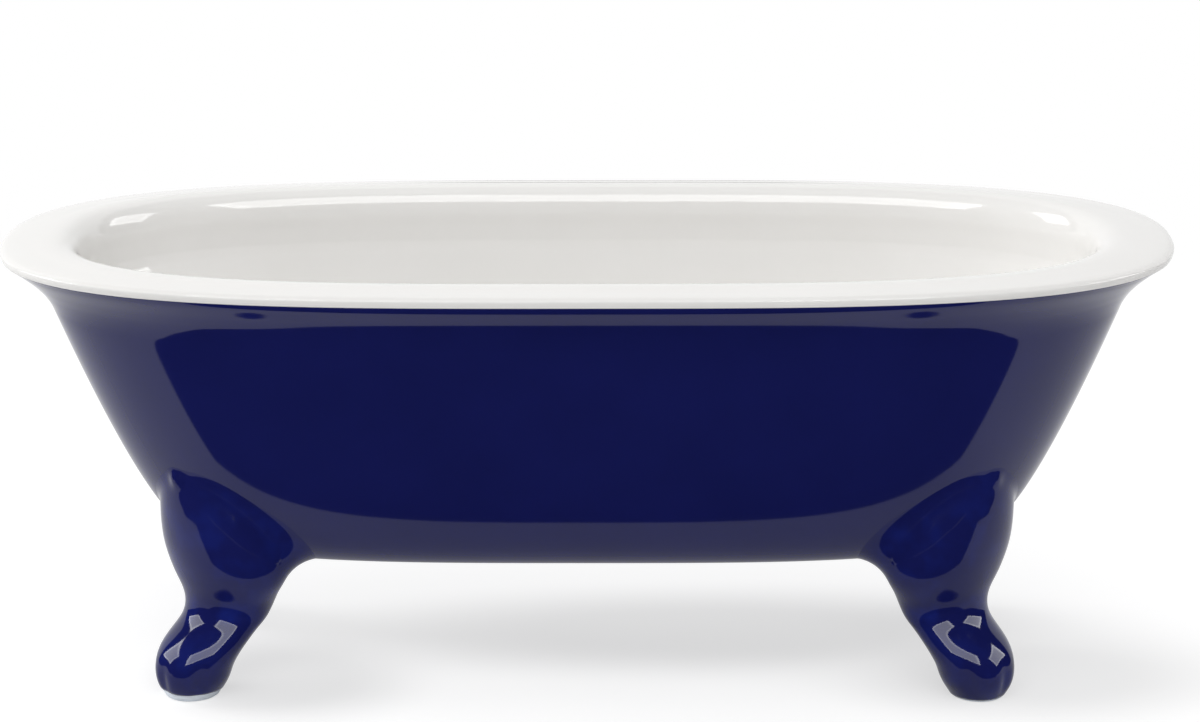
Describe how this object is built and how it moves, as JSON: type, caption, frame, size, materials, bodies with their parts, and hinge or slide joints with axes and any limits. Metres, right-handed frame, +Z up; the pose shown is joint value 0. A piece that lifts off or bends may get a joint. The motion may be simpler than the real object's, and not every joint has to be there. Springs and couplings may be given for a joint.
{
  "type": "soap dish",
  "caption": "Glazed ceramic soap dish shaped as a small double-ended bath with a rolled lip, on splayed cabriole legs with paw feet.",
  "frame": {"origin": "middle of the footprint, on the surface that the soles stand on", "axes": "+X along the dish to its right end as seen from the front, +Y to the back, +Z up"},
  "size_m": [0.175, 0.074, 0.067],
  "materials": {
    "white_glaze": "gloss white glaze",
    "cobalt_glaze": "gloss cobalt blue glaze",
    "bare_clay": "bare fired clay, matt"
  },
  "bodies": {
    "root": {"white_basin": "white_glaze", "blue_outer_wall": "cobalt_glaze", "foot_front_left": "cobalt_glaze", "foot_front_right": "cobalt_glaze", "foot_back_left": "cobalt_glaze", "foot_back_right": "cobalt_glaze", "sole_front_left": "bare_clay", "sole_front_right": "bare_clay", "sole_back_left": "bare_clay", "sole_back_right": "bare_clay"}
  },
  "joints": []
}
